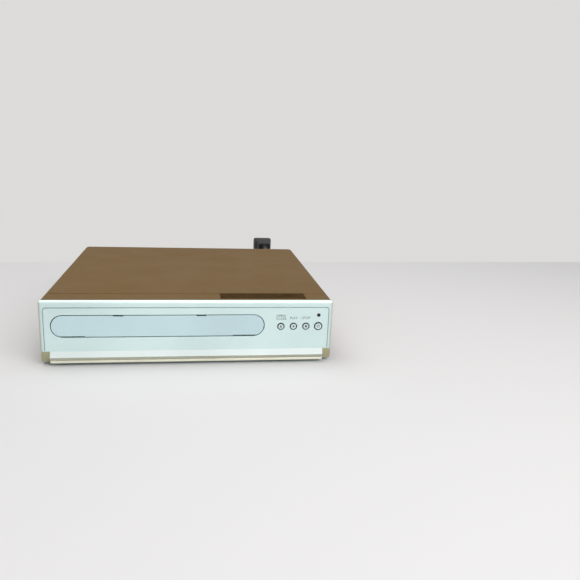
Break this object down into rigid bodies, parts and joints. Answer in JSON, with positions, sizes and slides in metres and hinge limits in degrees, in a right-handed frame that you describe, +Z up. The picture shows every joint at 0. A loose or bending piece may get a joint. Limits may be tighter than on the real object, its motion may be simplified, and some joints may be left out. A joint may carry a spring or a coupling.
{
  "type": "disc player with sliding tray",
  "caption": "Slim disc player: steel cover, silver front with a pill-shaped tray door and round buttons, a loader and pickup inside, sockets behind and a coiled mains lead.",
  "frame": {"origin": "middle of the player's footprint, sockets and bottom lip included, at the bottom of its feet", "axes": "+X to the right seen from the front, -Y out of the front face, +Z up"},
  "size_m": [0.2437, 0.411, 0.055],
  "materials": {
    "bezel_silver": "silver paint on moulded plastic, satin",
    "door_silver": "silver-blue paint, smooth",
    "cover_paint": "taupe metallic paint on steel sheet",
    "plated_steel": "zinc-plated sheet",
    "black_rubber": "matt",
    "dark_screw": "blackened steel",
    "bright_steel": "bright plated steel",
    "label_film": "dark brown film, bare",
    "button_plastic": "smooth moulded plastic",
    "window_plastic": "dark infrared-pass plastic",
    "board_green": "glass-fibre board with green lacquer",
    "board_tan": "paper-based board",
    "part_black": "moulded black plastic",
    "frame_black": "moulded black plastic, fine grain",
    "tray_grey": "moulded dark grey plastic, fine grain",
    "gear_white": "natural acetal",
    "table_plastic": "moulded plastic with a rubber seat",
    "magnet_grey": "sintered magnet",
    "motor_can": "drawn steel can",
    "lens_glass": "coated lens",
    "connector_ivory": "moulded nylon",
    "transformer_tape": "yellow tape over a ferrite core",
    "capacitor_sleeve": "shrunk sleeve over an aluminium can",
    "heatsink_aluminium": "extruded",
    "fuse_metal": "plated caps and clips",
    "jack_nickel": "nickel plate",
    "collar_plastic": "yellow, white, red and orange inserts",
    "ribbon_white": "laminated flat cable",
    "cord_black": "soft black cable plastic",
    "tie_black": "plastic-coated wire tie",
    "blade_metal": "nickel-plated brass"
  },
  "bodies": {
    "case": {"front_bezel": "bezel_silver", "top_cover": "cover_paint", "chassis_pan": "plated_steel", "rear_panel": "plated_steel", "rubber_feet": "black_rubber", "cover_screws": "dark_screw", "top_label": "label_film", "receiver_window": "window_plastic", "front_board": "board_green", "front_switches": "part_black", "inner_screws": "bright_steel", "loader_frame": "frame_black", "clamp_bridge": "plated_steel", "loading_motor": "motor_can", "loading_belt": "black_rubber", "main_board": "board_green", "main_chips": "part_black", "board_connectors": "connector_ivory", "power_board": "board_tan", "transformer": "transformer_tape", "capacitors": "capacitor_sleeve", "power_heatsink": "heatsink_aluminium", "fuse": "fuse_metal", "jack_board": "board_tan", "jack_block": "part_black", "jack_shells": "jack_nickel", "jack_collars": "collar_plastic", "video_socket": "part_black", "ribbon_cables": "ribbon_white", "cord_relief": "cord_black", "cord_lead": "cord_black", "cord_coil": "cord_black", "cord_tail": "cord_black", "cord_tie": "tie_black", "mains_plug": "cord_black", "plug_blades": "blade_metal"},
    "tray": {"disc_tray": "tray_grey", "tray_door": "door_silver"},
    "eject": {"eject_button": "button_plastic"},
    "play": {"play_button": "button_plastic"},
    "stop": {"stop_button": "button_plastic"},
    "power": {"power_button": "button_plastic"},
    "drive": {"drive_gear": "gear_white"},
    "pulley": {"pulley_gear": "gear_white"},
    "motor_wheel": {"motor_pulley": "gear_white"},
    "cam": {"cam_slider": "gear_white"},
    "traverse": {"traverse_frame": "frame_black", "damper_bushes": "black_rubber", "mech_plate": "plated_steel", "spindle_motor": "motor_can", "guide_rods": "bright_steel", "rod_clips": "frame_black", "sled_motor": "motor_can"},
    "table": {"turntable": "table_plastic"},
    "sled": {"pickup_sled": "frame_black", "pickup_lens": "lens_glass"},
    "screw": {"lead_screw": "bright_steel"},
    "clamp": {"clamp_puck": "gear_white", "clamp_magnet": "magnet_grey"}
  },
  "joints": [
    {"name": "tray_slide", "type": "slide", "parent": "case", "child": "tray", "axis": [0, -1, 0], "range_m": [0, 0.136]},
    {"name": "eject_press", "type": "slide", "parent": "case", "child": "eject", "axis": [0, 1, 0], "range_m": [0, 0.0006], "stiffness_N_per_m": 1500},
    {"name": "play_press", "type": "slide", "parent": "case", "child": "play", "axis": [0, 1, 0], "range_m": [0, 0.0006], "stiffness_N_per_m": 1500},
    {"name": "stop_press", "type": "slide", "parent": "case", "child": "stop", "axis": [0, 1, 0], "range_m": [0, 0.0006], "stiffness_N_per_m": 1500},
    {"name": "power_press", "type": "slide", "parent": "case", "child": "power", "axis": [0, 1, 0], "range_m": [0, 0.0006], "stiffness_N_per_m": 1500},
    {"name": "drive_spin", "type": "hinge", "parent": "case", "child": "drive", "pos_m": [0.017, -0.09, 0.02], "axis": [0, 0, 1], "range_deg": [-1000, 20]},
    {"name": "pulley_spin", "type": "hinge", "parent": "case", "child": "pulley", "pos_m": [-0.0038, -0.09, 0.015], "axis": [0, 0, 1], "range_deg": [-60, 3300]},
    {"name": "motor_spin", "type": "hinge", "parent": "case", "child": "motor_wheel", "pos_m": [-0.039, -0.09, 0.013], "axis": [0, 0, 1], "range_deg": [-200, 11600]},
    {"name": "traverse_tilt", "type": "hinge", "parent": "case", "child": "traverse", "pos_m": [-0.025, 0.066, 0.015], "axis": [-1, 0, 0], "range_deg": [0, 6.5]},
    {"name": "cam_slide", "type": "slide", "parent": "case", "child": "cam", "axis": [1, 0, 0], "range_m": [-0.0002, 0.0242]},
    {"name": "table_spin", "type": "hinge", "parent": "traverse", "child": "table", "pos_m": [-0.025, -0.043, 0.01768], "axis": [0, -0.1132, 0.9936], "continuous": true},
    {"name": "sled_slide", "type": "slide", "parent": "traverse", "child": "sled", "axis": [0, 0.9936, 0.1132], "range_m": [0, 0.034]},
    {"name": "screw_spin", "type": "hinge", "parent": "traverse", "child": "screw", "pos_m": [-0.053, -0.00207, 0.01177], "axis": [0, 0.9936, 0.1132], "range_deg": [-60, 4160]},
    {"name": "clamp_spin", "type": "hinge", "parent": "case", "child": "clamp", "pos_m": [-0.025, -0.042, 0.042], "axis": [0, 0, 1], "continuous": true}
  ],
  "couplings": [
    {"joint": "drive_spin", "follows": "tray_slide", "rad_per_m": -125},
    {"joint": "pulley_spin", "follows": "tray_slide", "rad_per_m": 416.67},
    {"joint": "motor_spin", "follows": "tray_slide", "rad_per_m": 1450.4},
    {"joint": "cam_slide", "follows": "traverse_tilt", "m_per_rad": 0.21155},
    {"joint": "screw_spin", "follows": "sled_slide", "rad_per_m": 2094.4}
  ]
}
